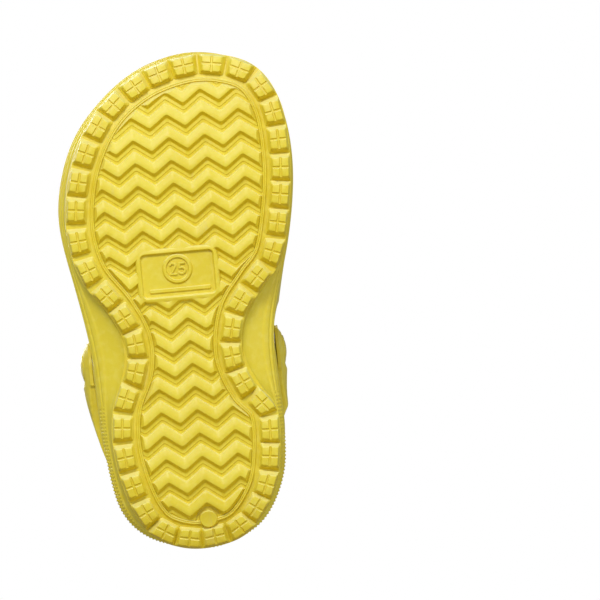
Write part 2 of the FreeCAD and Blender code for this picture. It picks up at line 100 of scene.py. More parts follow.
# The widest line of the sole from above: medial side, then lateral; and the collar, as in the part.
RIM = ((6, -89), (22, -87), (34.5, -79), (41, -66), (43, -48), (41, -29), (36.5, -10), (32, 5),
       (30, 22), (30.8, 50), (28.5, 67), (19.5, 82), (4, 89),
       (-9, 88), (-20.3, 84.2), (-28.6, 76.1), (-32, 66), (-34.2, 48), (-35.5, 18), (-39, -6), (-42, -22),
       (-42.6, -38), (-37.4, -56.5), (-28, -70.5), (-12, -83.5))
COLLAR_MIDDLE, COLLAR_HALF = (-2.3, 31.0), (31.5, 44.5)
COLLAR_FRONT_WIDENING, COLLAR_HEEL_NARROWING = 0.28, 0.08
COLLAR_EDGE = ((-14, 66), (-8, 61), (0, 55.5), (10, 52.5), (22, 51), (38, 48), (56, 44.5), (76, 43.5))
AROUND = 48                     # columns of poles round the body's outer surface
FOOTBED_Z, WALL = 13.0, 3.8
PIVOT_Y, PIVOT_Z = 21.0, 41.5
BOSS_X = {"lateral": -35.0, "medial": 30.0}
BOSS_DEPTH, WASHER_THICK, SIDE_PLAY, STRAP_THICK, STRAP_RISE = 5.0, 0.8, 0.3, 4.4, 8.0
HEAD_RADIUS, HEAD_THICK, SHANK_RADIUS = 5.2, 2.0, 2.6
CAP_RADIUS, CAP_THICK = 6.0, 2.6
STRAP_END_RADIUS, STRAP_HALF_HEIGHT, STRAP_BEND_Y = 9.0, 6.0, 31.0
STRAP_OUT = WASHER_THICK + SIDE_PLAY + STRAP_THICK      # from the boss to the strap's outer face
MEDIAL_HEAD_SINK = 0.7          # the medial end lies a little closer to the shoe
STRAP_PLAN = ((-37.8, 49), (-31.3, 66), (-18.5, 81), (-2.5, 86.6), (13.5, 81), (26.3, 66), (32.8, 49))

# ---- camera, light and floor, in metres ----------------------------------------------------------
CAMERA_DISTANCE = 1.5
AIM_HEIGHT = 0.016              # the level of the sole that FRAME_WIDTH is true for
FRAME_WIDTH = 0.2161            # what the picture spans at the sole's widest line
FRAME_AIM = (0.0410, 0.0003)    # from the shoe's middle to the picture's middle, right and up
ROLL_DEGREES = 5.4
AMBIENT = 0.27
LIGHTS = (("key", (-0.14, -0.72, -1.0), 0.28, 8.8),     # name, place, side of the square, watts
          ("fill", (0.75, 0.1, -0.55), 0.5, 1.1),
          ("top", (-0.4, -0.5, 1.3), 0.9, 14.0))
FLOOR_Z = -1.7                  # under the camera, which looks up at the sole
FLOOR_HALF = 40.0
FLOOR_GLOW = (3.0, 16.0, 0.14, 0.75)                    # from and to this far out, this strong


# ---- curves --------------------------------------------------------------------------------------
def smooth_loop(points, per_span=16):
    """Points on the closed Catmull-Rom curve through the given ones."""
    p = np.array(points, float)
    before, after, later = np.roll(p, 1, 0), np.roll(p, -1, 0), np.roll(p, -2, 0)
    t = (np.arange(per_span) / per_span)[None, :, None]
    a, b, c, d = (q[:, None, :] for q in (before, p, after, later))
    curve = 0.5 * (2 * b + (c - a) * t + (2 * a - 5 * b + 4 * c - d) * t ** 2
                   + (3 * b - a - 3 * c + d) * t ** 3)
    return curve.reshape(-1, 2)


def even_loop(points, n):
    """n evenly spaced points of a closed polyline."""
    closed = np.vstack([points, points[:1]])
    walked = np.concatenate([[0], np.cumsum(np.linalg.norm(np.diff(closed, axis=0), axis=1))])
    at = np.arange(n) / n * walked[-1]
    return np.stack([np.interp(at, walked, closed[:, k]) for k in (0, 1)], 1)


def loop_frames(points):
    """Outward normals and tangents of a loop whose medial side comes first."""
    along = np.roll(points, -1, 0) - np.roll(points, 1, 0)
    tangent = along / np.linalg.norm(along, axis=1)[:, None]
    return np.stack([tangent[:, 1], -tangent[:, 0]], 1), tangent


def offset_loop(points, distance):
    """The loop moved outwards by a distance, or inwards by a negative one."""
    return points + loop_frames(points)[0] * distance


def ground_z(y):
    """Height of the tread's contact surface along the foot, for a number or an array."""
    half = LENGTH / 2
    toe = np.maximum(0.0, TOE_SPRING_FROM - y) / (half + TOE_SPRING_FROM)
    heel = np.maximum(0.0, y - HEEL_BEVEL_FROM) / (half - HEEL_BEVEL_FROM)
    return TOE_SPRING * toe ** 2 + HEEL_BEVEL * heel ** 2


# ---- mesh helpers --------------------------------------------------------------------------------
def mesh_object(name, vertices, faces):
    """A new object from millimetre vertices."""
    mesh = bpy.data.meshes.new(name)
    mesh.from_pydata([tuple(v) for v in np.asarray(vertices) * MM], [], faces)
    mesh.validate()
    obj = bpy.data.objects.new(name, mesh)
    bpy.context.scene.collection.objects.link(obj)
    return obj


def stacked(rings, cap_faces=True):
    """Vertices and faces of a solid from rings of equally many points that all run the same way."""
    count, n = len(rings), len(rings[0])
    vertices = np.vstack(rings)
    faces = [(j * n + i, j * n + (i + 1) % n, (j + 1) * n + (i + 1) % n, (j + 1) * n + i)
             for j in range(count - 1) for i in range(n)]
    if cap_faces:
        faces += [tuple(range(n))[::-1], tuple((count - 1) * n + i for i in range(n))]
    return vertices, faces


def at_height(points, z):
    """A ring of points at one height."""
    return np.column_stack([points, np.full(len(points), float(z))])


def join_parts(parts):
    """One vertex and face list from several."""
    vertices, faces, start = [], [], 0
    for v, f in parts:
        vertices.append(v)
        faces += [tuple(k + start for k in face) for face in f]
        start += len(v)
    return np.vstack(vertices), faces


def solid(name, geometry):
    """A closed object from vertices and faces, with the faces turned outwards."""
    obj = mesh_object(name, *geometry)
    bm = bmesh.new()
    bm.from_mesh(obj.data)
    bmesh.ops.recalc_face_normals(bm, faces=bm.faces)
    bm.to_mesh(obj.data)
    bm.free()
    return obj


def combine(target, tool, operation):
    """Exact union, difference or intersection of two closed solids; the tool is used up."""
    step = target.modifiers.new("csg", "BOOLEAN")
    step.operation, step.object, step.solver = operation, tool, "MANIFOLD"
    settle(target)
    bpy.data.objects.remove(tool)
    return target


def settle(obj):
    """Applies the object's modifiers."""
    graph = bpy.context.evaluated_depsgraph_get()
    graph.update()
    done = bpy.data.meshes.new_from_object(obj.evaluated_get(graph))
    obj.modifiers.clear()
    old, obj.data = obj.data, done
    bpy.data.meshes.remove(old)
    return obj


def per_vertex(obj, what):
    """The vertices' places ("co", in metres) or their normals ("normal"), as rows."""
    rows = np.empty(len(obj.data.vertices) * 3, np.float32)
    obj.data.vertices.foreach_get(what, rows)
    return rows.reshape(-1, 3)


def move_to(obj, places):
    """Puts the vertices at new places, in metres."""
    obj.data.vertices.foreach_set("co", places.astype(np.float32).ravel())
    obj.data.update()


def smooth_by_angle(obj, degrees):
    """Smooth shading with sharp edges where faces meet at more than the angle."""
    obj.data.shade_smooth()
    obj.data.set_sharp_from_angle(angle=math.radians(degrees))


# ---- tread ---------------------------------------------------------------------------------------
def rounded_rectangle(half_long, half_wide, corner, per_corner=4):
    """Counter-clockwise outline points about the origin."""
    out = []
    for k, (sx, sy) in enumerate(((1, 1), (-1, 1), (-1, -1), (1, -1))):
        for j in range(per_corner + 1):
            a = math.pi / 2 * (k + j / per_corner)
            out.append((sx * (half_long - corner) + corner * math.cos(a),
                        sy * (half_wide - corner) + corner * math.sin(a)))
    return np.array(out)


def lug_solid(centre, normal, tangent, bend):
    """One lug: flared foot, drafted walls and a rounded top. bend is the ring's curvature there."""
    flare, top_round = 0.4, 0.32
    levels = ((LUG_HEIGHT + 0.6, 0.0, flare), (LUG_HEIGHT - 0.3, 0.0, flare), (LUG_HEIGHT - 0.55, 0.0, 0.22),
              (LUG_HEIGHT - 0.8, 0.1, 0.0), (0.3, 0.93, 0.0), (0.1, 1.0, -0.08), (0.0, 1.0, -top_round))
    rings = []
    for z, share, grow in levels:
        long = (LUG_BASE[0] * (1 - share) + LUG_TOP[0] * share) / 2 + grow
        wide = (LUG_BASE[1] * (1 - share) + LUG_TOP[1] * share) / 2 + grow
        a, b = rounded_rectangle(long, wide, 0.75).T
        a = a * (1 + b * bend)
        rings.append(at_height(centre + a[:, None] * tangent + b[:, None] * normal, z))
    return stacked(rings)


def cross_cutter(centre, normal, tangent):
    """A drafted plus sign that leaves four pads on the top of a lug."""
    r = CROSS_REACH
    rings = []
    for z, share in ((-0.6, 1.8), (0.06, 1.15), (0.6 * CROSS_DEPTH, 0.85), (CROSS_DEPTH, 0.5)):
        h = CROSS_WIDTH * share / 2
        plus = np.array([(r, h), (h, h), (h, r), (-h, r), (-h, h), (-r, h),
                         (-r, -h), (-h, -h), (-h, -r), (h, -r), (h, -h), (r, -h)])
        rings.append(at_height(centre + plus[:, :1] * tangent + plus[:, 1:] * normal, z))
    return stacked(rings)


def lug_stations():
    """Centre, normal, tangent and curvature of the ring at each lug."""
    fine = 20
    ring = even_loop(smooth_loop(LUG_PATH), LUG_COUNT * fine)
    normals, tangents = loop_frames(ring)
    pitch = np.linalg.norm(ring[1] - ring[0])
    reach = fine // 3
    drift_at, drift = np.array(LUG_DRIFT).T
    for k in range(LUG_COUNT):
        i = round((k + np.interp(k, drift_at, drift)) * fine) % len(ring)
        a, b = tangents[i - reach], tangents[(i + reach) % len(ring)]
        bend = (a[0] * b[1] - a[1] * b[0]) / (2 * reach * pitch)
        yield ring[i], normals[i], tangents[i], bend


def wave(x):
    """The zigzag's offset along the foot at x, with slightly rounded peaks and valleys."""
    half = CHEVRON_WAVE / 2
    phase = np.abs((x / half + 1) % 2 - 1)
    rounding = 0.07
    return CHEVRON_SWING * (np.sqrt(phase ** 2 + rounding ** 2) * (1 - phase)
                            + (1 - np.sqrt((1 - phase) ** 2 + rounding ** 2)) * phase)


def row_shift(y):
    """How far a row of ridges lies from its even place along the foot."""
    return 0.3 - 1.2 * math.exp(-((y - 20) / 45) ** 2)


def washboard():
    """The chevron ridges over a whole rectangle: a saw-tooth section that follows the zigzag.

    The section runs from the foot of one ridge's heel-side wall over two low ledges and up the next ridge's
    sloping toe side: (way towards the heel, height over the floor).
    """
    section = ((0.0, 0.86), (0.1, 0.8), (1.22, 0.74), (1.32, 0.66), (1.44, 0.44), (1.54, 0.4), (2.5, 0.36),
               (2.58, 0.46), (2.94, 1.66), (3.06, 1.84), (3.24, 1.94), (4.9, 2.42), (5.3, 2.5), (6.66, 2.58),
               (6.86, 2.5), (6.98, 2.34), (7.98, 0.98), (8.1, 0.88))
    turns = (-0.9, -0.5, -0.2, 0.0, 0.2, 0.5, 0.9)
    xs = np.array([k * CHEVRON_WAVE / 2 + t for k in range(-8, 9) for t in turns])
    rows = [(CHEVRON_FIRST + k * CHEVRON_PITCH + w, h) for k in range(CHEVRON_COUNT) for w, h in section]
    # The mould's rows lie a little off an even pitch, and drift sideways from toe to heel
    front = np.array([[(x + CHEVRON_DRIFT * y - 0.1, y + wave(x) + row_shift(y), LUG_HEIGHT - h) for x in xs]
                      for y, h in rows])
    back = front.copy()
    back[:, :, 2] = LUG_HEIGHT + 1.0
    m, n = front.shape[:2]
    vertices = np.vstack([front.reshape(-1, 3), back.reshape(-1, 3)])
    half = m * n
    faces = []
    for j in range(m - 1):
        for i in range(n - 1):
            a = j * n + i
            faces.append((a, a + n, a + n + 1, a + 1))
            faces.append((half + a, half + a + 1, half + a + n + 1, half + a + n))
    edge = [j * n for j in range(m)] + [(m - 1) * n + i for i in range(1, n)]
    edge += [j * n + n - 1 for j in range(m - 2, -1, -1)] + list(range(n - 2, 0, -1))
    for a, b in zip(edge, edge[1:] + edge[:1]):
        faces.append((b, a, half + a, half + b))
    return vertices, faces


def rail_solid(path):
    """The raised double line between the lugs and the chevrons."""
    half = RAIL_WIDTH / 2
    outer_side = ((0.42, -0.95), (half - 0.14, -0.72), (half, -0.12), (half + 0.25, 0.0), (half + 0.25, 0.4))
    groove = ((-0.16, -0.92), (0.0, -0.7), (0.16, -0.92))
    section = tuple((-n, z) for n, z in outer_side[::-1]) + groove + outer_side
    rings = [at_height(offset_loop(path, n - RAIL_IN), LUG_HEIGHT + z) for n, z in section]
    vertices, faces = stacked(rings, cap_faces=False)
    count, n = len(rings), len(path)
    faces += [((count - 1) * n + i, (count - 1) * n + (i + 1) % n, (i + 1) % n, i) for i in range(n)]
    return vertices, faces


def round_block(at, radius, levels, sides=40):
    """A turned solid: levels are (height, radius change)."""
    a = np.arange(sides) / sides * 2 * math.pi
    circle = np.column_stack([np.cos(a), np.sin(a)])
    return stacked([at_height(np.array(at) + circle * (radius + grow), z) for z, grow in levels])


def plate_block(at, size, corner, levels):
    """A solid on a rounded rectangle: levels are (height, growth of each side)."""
    return stacked([at_height(np.array(at) + rounded_rectangle(size[0] / 2 + grow, size[1] / 2 + grow,
                                                               corner + max(grow, -corner * 0.8)), z)
                    for z, grow in levels])


def stroke(points, width, z_face, z_foot):
    """Raised round-ended blocks, one along each run of a numeral's line."""
    blocks = []
    for a, b in zip(points, points[1:]):
        (ax, ay), (bx, by) = a, b
        heading = math.atan2(by - ay, bx - ax)
        rings = []
        for z, w in ((z_foot, width * 1.25), (z_face + 0.12, width), (z_face, width * 0.62)):
            turn = np.linspace(-math.pi / 2, math.pi / 2, 6) + heading
            front = np.column_stack([bx + w / 2 * np.cos(turn), by + w / 2 * np.sin(turn)])
            rear = np.column_stack([ax - w / 2 * np.cos(turn), ay - w / 2 * np.sin(turn)])
            rings.append(at_height(np.vstack([front, rear]), z))
        blocks.append(stacked(rings))
    return blocks


def united(name, parts):
    """One object from overlapping solids."""
    whole = solid(name, parts[0])
    for part in parts[1:]:
        combine(whole, solid("more", part), "UNION")
    return whole


def arc(cx, cy, r, start, end, n):
    """Points on a round stretch, from one angle to another in degrees."""
    a = np.radians(np.linspace(start, end, n))
    return [(cx + r * math.cos(t), cy + r * math.sin(t)) for t in a]


def size_numerals(z_face, z_foot):
    """A plain size number, 25, in the middle of the ring. It reads from below, toe up."""
    two = arc(0, 1.15, 0.85, 165, -35, 9) + [(-0.2, -0.9), (-0.85, -1.75), (-0.8, -1.9), (0.95, -1.9)]
    five = [(0.85, 1.9), (-0.62, 1.9), (-0.78, 0.25)] + arc(-0.02, -0.75, 1.1, 118, -150, 12)
    solids = []
    for glyph, shift in ((two, -1.45), (five, 1.35)):
        points = [(RING_AT[0] + NUMERAL_WIDENING * (x + shift), RING_AT[1] - y) for x, y in glyph]
        solids += stroke(points, NUMERAL_STROKE, z_face, z_foot)
    return solids


def cut_into_bands(obj):
    """Adds cuts across the tread where it bends up, so that the bend is smooth."""
    bm = bmesh.new()
    bm.from_mesh(obj.data)
    toe = np.arange(TOE_SPRING_FROM, -LENGTH / 2, -3.5)
    heel = np.arange(HEEL_BEVEL_FROM, LENGTH / 2, 2.5)
    for y in np.concatenate([toe, heel]):
        everything = bm.verts[:] + bm.edges[:] + bm.faces[:]
        bmesh.ops.bisect_plane(bm, geom=everything, plane_co=(0, y * MM, 0), plane_no=(0, 1, 0), dist=1e-7)
    bm.to_mesh(obj.data)
    bm.free()


def bend_to_ground(obj):
    """Lifts every point by the toe spring or the heel bevel at its place along the foot."""
    co = per_vertex(obj, "co")
    co[:, 2] += ground_z(co[:, 1] / MM) * MM
    move_to(obj, co)


def chevron_field(path):
    """The ridges within the rail, with the plaque's land on them and room for the gate mark."""
    ridges = solid("ridges", washboard())
    limit = [at_height(offset_loop(path, -FIELD_IN - inset), z) for z, inset in
             ((-1.0, 2.2), (LUG_HEIGHT - 2.6, 1.15), (LUG_HEIGHT - 0.9, 0.05), (LUG_HEIGHT + 0.4, -0.2))]
    combine(ridges, solid("limit", stacked(limit)), "INTERSECT")
    crest = PLAQUE_LAND_Z
    land = plate_block(PLAQUE_AT, PLAQUE_SIZE, 2.2, (
        (LUG_HEIGHT + 0.8, 2.2), (LUG_HEIGHT - 0.4, 2.05), (crest + 0.55, 1.65), (crest + 0.2, 1.35),
        (crest, 0.95)))
    combine(ridges, solid("land", land), "UNION")
    gate_room = round_block(GATE_AT, GATE_RADIUS, ((-2.0, 1.6), (LUG_HEIGHT - 0.1, 1.1)))
    combine(ridges, solid("gate_room", gate_room), "DIFFERENCE")
    return ridges


def lug_ring(path):
    """All the lugs with their crosses, trimmed to the edge of the skin."""
    stations = list(lug_stations())
    lugs = solid("lugs", join_parts([lug_solid(*s) for s in stations]))
    crosses = solid("crosses", join_parts([cross_cutter(*s[:3]) for s in stations]))
    combine(lugs, crosses, "DIFFERENCE")
    trim = [at_height(offset_loop(path, TREAD_EDGE + grow), z) for z, grow in
            ((-1.0, -0.75), (0.4, -0.6), (LUG_HEIGHT - 0.5, -0.22), (LUG_HEIGHT + 2.0, -0.12))]
    combine(lugs, solid("trim", stacked(trim)), "INTERSECT")
    return lugs


def add_plaque(sole):
    """Sinks the plaque's pocket into the sole and raises the ring, the number and a plain bar in it."""
    crest = PLAQUE_LAND_Z
    floor_z = crest + PLAQUE_DEPTH
    pocket = plate_block(PLAQUE_AT, PLAQUE_SIZE, 1.6, (
        (-1.0, 0.9), (crest - 0.05, 0.3), (crest + 0.25, 0.05), (floor_z - 0.15, -0.2), (floor_z, -0.4)))
    combine(sole, solid("pocket", pocket), "DIFFERENCE")
    face = floor_z - PLAQUE_RELIEF
    foot = floor_z + 0.4
    ring = solid("ring", round_block(
        RING_AT, RING_RADIUS,
        ((foot, 0.25), (floor_z - 0.1, 0.12), (face + 0.25, -0.1), (face, -0.4)), 64))
    hole = solid("hole", round_block(
        RING_AT, RING_RADIUS - RING_WIDTH,
        ((foot + 1, -0.3), (foot - 0.35, -0.25), (face + 0.25, -0.05), (face - 1, 0.3)), 64))
    combine(ring, hole, "DIFFERENCE")
    combine(sole, ring, "UNION")
    bar = plate_block(BAR_AT, BAR_SIZE, 0.6, ((foot, 0.1), (face + 0.35, -0.05), (face + 0.15, -0.3)))
    combine(sole, united("marks", size_numerals(face + 0.15, foot) + [bar]), "UNION")


def tread():
    """The whole outsole, modelled flat and then bent up at the toe and heel."""
    path = even_loop(smooth_loop(LUG_PATH), 420)
    edge = offset_loop(path, TREAD_EDGE)
    sole = solid("tread", stacked([at_height(edge, LUG_HEIGHT), at_height(edge, LUG_HEIGHT + SKIN)]))
    combine(sole, chevron_field(path), "UNION")
    combine(sole, solid("rail", rail_solid(path)), "UNION")
    combine(sole, lug_ring(path), "UNION")
    add_plaque(sole)
    gate = round_block(GATE_AT, GATE_RADIUS, (
        (LUG_HEIGHT + 0.8, 0.2), (LUG_HEIGHT - 0.3, 0.1), (1.35, -0.25), (1.1, -0.5), (1.22, -1.6),
        (1.3, -3.2)))
    combine(sole, solid("gate", gate), "UNION")
    cut_into_bands(sole)
    bend_to_ground(sole)
    smooth_by_angle(sole, 32)
    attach(sole, "clog")
    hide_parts("outsole")
    return sole


# ---- body surface --------------------------------------------------------------------------------
def by_bearing(points, n):
    """n points of a loop whose Y runs evenly by angle: point 0 at the toe, the medial side first."""
    toe = int(np.argmin(points[:, 1]))
    turned = np.roll(points, -toe, 0)
    heel = int(np.argmax(turned[:, 1]))
    medial, lateral = turned[:heel + 1], np.vstack([turned[heel:], turned[:1]])[::-1]
    bearing = np.arange(n) / n * 2 * math.pi
    low, high = points[:, 1].min(), points[:, 1].max()
    y = (low + high) / 2 - (high - low) / 2 * np.cos(bearing)
    x = np.where(bearing <= math.pi, np.interp(y, medial[:, 1], medial[:, 0]),
                 np.interp(y, lateral[:, 1], lateral[:, 0]))
    return np.column_stack([x, y])


def collar_loop(n):
    """The collar from above: an oval that is wider in front and narrower at the heel."""
    bearing = np.arange(n) / n * 2 * math.pi
    heel = (1 - np.cos(bearing)) / 2
    widening = COLLAR_FRONT_WIDENING * (1 - heel) ** 4
    half_width = COLLAR_HALF[0] * (1 + widening - COLLAR_HEEL_NARROWING * heel ** 2)
    return np.column_stack([COLLAR_MIDDLE[0] + half_width * np.sin(bearing),
                            COLLAR_MIDDLE[1] - COLLAR_HALF[1] * np.cos(bearing)])


def outer_poles():
    """Columns of poles of the body's outer surface, from under the tread up past the collar."""
    r = by_bearing(smooth_loop(RIM), AROUND)
    u = offset_loop(r, -1.8)
    t = by_bearing(offset_loop(smooth_loop(LUG_PATH), TREAD_EDGE), AROUND)
    k = collar_loop(AROUND)
    toe = (1 + np.cos(np.arange(AROUND) / AROUND * 2 * math.pi)) / 2
    heel = 1 - toe
    rim_z, skin_z = ground_z(r[:, 1]) + RIM_LIFT, ground_z(t[:, 1]) + LUG_HEIGHT
    edge_y, edge_z = np.array(COLLAR_EDGE).T
    collar_z = np.interp(k[:, 1], edge_y, edge_z)
    shoulder_z = rim_z + 12 + 8 * toe ** 2 - heel ** 2
    climb = collar_z - shoulder_z

    def row(xy, z):
        return np.column_stack([xy, np.broadcast_to(z, AROUND)])

    def between(a, b, share):
        return a + (b - a) * np.reshape(share, (-1, 1))

    rows = [row(t, -8), row(t, -2), row(t, skin_z), row(t, skin_z + SKIN),
            row(between(t, u, 0.3), skin_z + SKIN + 0.5 * (rim_z - 4 - skin_z - SKIN)),
            row(u, rim_z - 3.5), row(r, rim_z - 0.5), row(r, rim_z + 5),
            row(between(r, k, 0.04 + 0.10 * heel), shoulder_z),
            row(between(k, r, 0.74 - 0.14 * heel), shoulder_z + 0.5 * climb),
            row(between(k, r, 0.36 - 0.12 * heel), shoulder_z + 0.83 * climb),
            row(k, collar_z), row(k, collar_z + 5), row(k, 92), row(k, 100)]
    return np.stack(rows, 1)


def inner_poles(outer):
    """The outer poles from the rim up, moved in by the wall, over a flat footbed."""
    j = np.arange(7, outer.shape[1] - 1)
    along = np.roll(outer, -1, 0)[:, j] - np.roll(outer, 1, 0)[:, j]
    normal = np.cross(along, outer[:, j + 1] - outer[:, j - 1])
    moved = outer[:, j] - normal / np.linalg.norm(normal, axis=2, keepdims=True) * WALL
    inward = np.column_stack([COLLAR_MIDDLE[0] - moved[:, 0, 0], -0.4 * moved[:, 0, 1]])
    inward /= np.linalg.norm(inward, axis=1)[:, None]
    floor = [np.column_stack([moved[:, 0, :2] + inward * reach, np.full(AROUND, z)])
             for reach, z in ((14, FOOTBED_Z), (2.5, FOOTBED_Z), (0, FOOTBED_Z + 3))]
    return np.concatenate([np.stack(floor, 1), moved], 1)


def row_weights(v, count):
    """Clamped uniform cubic spline weights: one row for each v, one column for each pole."""
    knots = np.concatenate([[0] * 3, np.arange(count - 2), [count - 3] * 3]).astype(float)
    v = v[:, None]
    w = ((v >= knots[:-1]) & (v < knots[1:])).astype(float)
    for d in (1, 2, 3):
        n = len(knots) - 1 - d
        start, end = knots[:n], knots[d + 1:d + 1 + n]
        rise, fall = knots[d:d + n] - start, end - knots[1:1 + n]
        w = (np.where(rise > 0, (v - start) / np.where(rise > 0, rise, 1), 0) * w[:, :n]
             + np.where(fall > 0, (end - v) / np.where(fall > 0, fall, 1), 0) * w[:, 1:n + 1])
    return w


def spline_points(poles, u, v):
    """Points on the surface over the poles: u counts columns from the toe, v counts rows."""
    sharp = poles + (2 * poles - np.roll(poles, 1, 0) - np.roll(poles, -1, 0)) / 6
    i = np.floor(u).astype(int)
    t = (u - i)[:, None, None]
    shares = ((1 - t) ** 3, 3 * t ** 3 - 6 * t ** 2 + 4, -3 * t ** 3 + 3 * t ** 2 + 3 * t + 1, t ** 3)
    sections = sum(share / 6 * sharp[(i + k) % AROUND] for share, k in zip(shares, (-1, 0, 1, 2)))
    return np.einsum("vr,urc->uvc", row_weights(v, poles.shape[1]), sections)


def wall_lines(poles, u, heights):
    """Points of the outer surface at heights over the ground line, and their outward normals."""
    v = np.linspace(0.5, 8.5, 500)
    fine = spline_points(poles, u, v)
    over = fine[:, :, 2] - ground_z(fine[:, :, 1])
    out = np.empty((len(u), len(heights), 3))
    for i in range(len(u)):
        for c in range(3):
            out[i, :, c] = np.interp(heights, over[i], fine[i, :, c])
    normal = np.cross(np.roll(out, -1, 0) - np.roll(out, 1, 0), np.gradient(out, axis=1))
    return out, normal / np.linalg.norm(normal, axis=2, keepdims=True)


def bump(x, centre, width):
    """A smooth hump of height 1."""
    return np.exp(-((x - centre) / width) ** 2 * 2.8)


def step_up(x, start, end):
    """Rises smoothly from 0 at start to 1 at end."""
    t = np.clip((x - start) / (end - start), 0, 1)
    return t * t * (3 - 2 * t)


def window(x, start, full, fade, end):
    """Rises from start to full and falls from fade to end."""
    return step_up(x, start, full) * (1 - step_up(x, fade, end))


def knurl(walked, height, y):
    """Moulded studs round the heel: 1 on a stud, 0 between."""
    teeth = np.clip(0.35 + 1.5 * np.cos(walked / KNURL_PITCH * 2 * math.pi), 0, 1)
    rows = np.clip(0.55 + 1.5 * np.cos(height / KNURL_ROW * 2 * math.pi), 0, 1)
    return teeth * rows * step_up(y, KNURL_FROM, KNURL_FROM + 3)


def perimeter_stations(poles):
    """u of closely spaced stations round the rim, finer where the knurling is, and the way walked."""
    u = np.linspace(0, AROUND, 6001)[:-1]
    line = wall_lines(poles, u, np.array([RIM_LIFT, RIM_LIFT + 1]))[0][:, 0]
    steps = np.linalg.norm(np.roll(line, -1, 0) - line, axis=1)
    walked = np.concatenate([[0], np.cumsum(steps)[:-1]])
    fine = line[:, 1] > KNURL_FROM - 2
    cost = np.cumsum(steps * np.where(fine, 1 / 0.17, 1 / 0.6))
    n = int(cost[-1])
    picks = np.unique(np.searchsorted(cost, np.arange(n) / n * cost[-1]))
    return u[picks], walked[picks]


def capped(rings, shrinks, lift):
    """Further rings that close an end: the last ring drawn in towards the middle of the sole."""
    heart = np.array([-2.0, 5.0])
    out = []
    for s in shrinks:
        xy = heart + (rings[:, :2] - heart) * s
        out.append(np.column_stack([xy, ground_z(xy[:, 1]) + lift]))
    return out


def midsole():
    """The foam between tread and upper: scooped waist, fine lines under the rim, knurled heel, footbed.

    Returns the body and the nubs of the footbed, which are a piece of their own.
    """
    poles = outer_poles()
    u, walked = perimeter_stations(poles)
    bond, seam = LUG_HEIGHT + SKIN, RIM_LIFT
    heights = np.concatenate([np.linspace(bond, 9.4, 12), np.arange(9.6, seam + 0.01, 0.2)])
    wall, normal = wall_lines(poles, u, heights)
    h = heights[None, :]
    out = (0.32 * step_up(h, 9.5, 9.9) - 0.34 * bump(h, 11.2, 0.42) - 0.3 * bump(h, 12.8, 0.4)
           - 0.15 * step_up(h, seam - 0.5, seam)) * np.ones((len(u), 1))
    out = out + KNURL_DEPTH * knurl(walked[:, None], h, wall[:, :, 1]) * step_up(h, 9.6, 10.2)
    wall = wall + normal * out[:, :, None]
    shrinks = (0.97, 0.8, 0.5, 0.2, 0.02)
    low, high = capped(wall[:, 0], shrinks, bond), capped(wall[:, -1], shrinks, seam)
    rings = low[::-1] + [wall[:, j] for j in range(len(heights))] + high
    body = solid("midsole_foam", stacked(rings))

    inner = inner_poles(poles)
    around = np.linspace(0, AROUND, 241)[:-1]
    cup = spline_points(inner, around, np.linspace(0.0, 4.2, 30))
    shallow = np.concatenate([cup, cup[:, -1:] + (0, 0, 6.0)], 1)
    bowl = solid("bowl", stacked([shallow[:, j] for j in range(shallow.shape[1])]))
    combine(body, bowl, "DIFFERENCE")
    smooth_by_angle(body, 40)
    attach(body, "clog")
    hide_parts("midsole")

    floor_edge = cup[:, 0, :2]
    middle = floor_edge.mean(0)
    room = middle + (floor_edge - middle) * 0.97
    levels = [(FOOTBED_Z + rise, grow)
              for rise, grow in ((-0.4, 0.0), (0.1, -0.05), (0.45, -0.4), (0.6, -0.8))]
    places = [np.array([(i + j % 2 / 2) * NUB_PITCH, j * NUB_PITCH * 0.87]) + middle
              for j in range(-20, 21) for i in range(-9, 10)]
    blocks = [round_block(at, NUB_RADIUS, levels, 12) for at in places if inside_loop(at, room)]
    nubs = solid("footbed_nubs", join_parts(blocks))
    smooth_by_angle(nubs, 60)
    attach(nubs, "clog")
    return body, nubs


def inside_loop(at, loop):
    """Whether a point lies inside a closed polyline."""
    x, y = at
    ax, ay = loop.T
    bx, by = np.roll(loop, -1, 0).T
    crosses = ((ay > y) != (by > y)) & (x < (bx - ax) * (y - ay) / (by - ay + 1e-12) + ax)
    return bool(crosses.sum() % 2)


def heel_grip():
    """The knurled band round the heel, above the seam."""
    poles = outer_poles()
    u, walked = perimeter_stations(poles)
    low, high = RIM_LIFT, RIM_LIFT + GRIP_HEIGHT
    heights = np.linspace(low, high, 46)
    wall, normal = wall_lines(poles, u, heights)
    h = heights[None, :]
    keep = wall[:, 0, 1] > KNURL_FROM
    fade = step_up(h, low, low + 0.3) * (1 - step_up(h, high - 0.5, high))
    out = (KNURL_DEPTH * knurl(walked[:, None], h, wall[:, :, 1]) + 0.1) * fade - 0.25 * (1 - fade)
    front = (wall + normal * out[:, :, None])[keep]
    back = (wall - normal * 1.2)[keep]
    rings = [np.vstack([outside, inside[::-1]]) for outside, inside in zip(front, back)]
    band = solid("heel_grip_band", stacked(rings))
    smooth_by_angle(band, 50)
    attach(band, "clog")
    return band


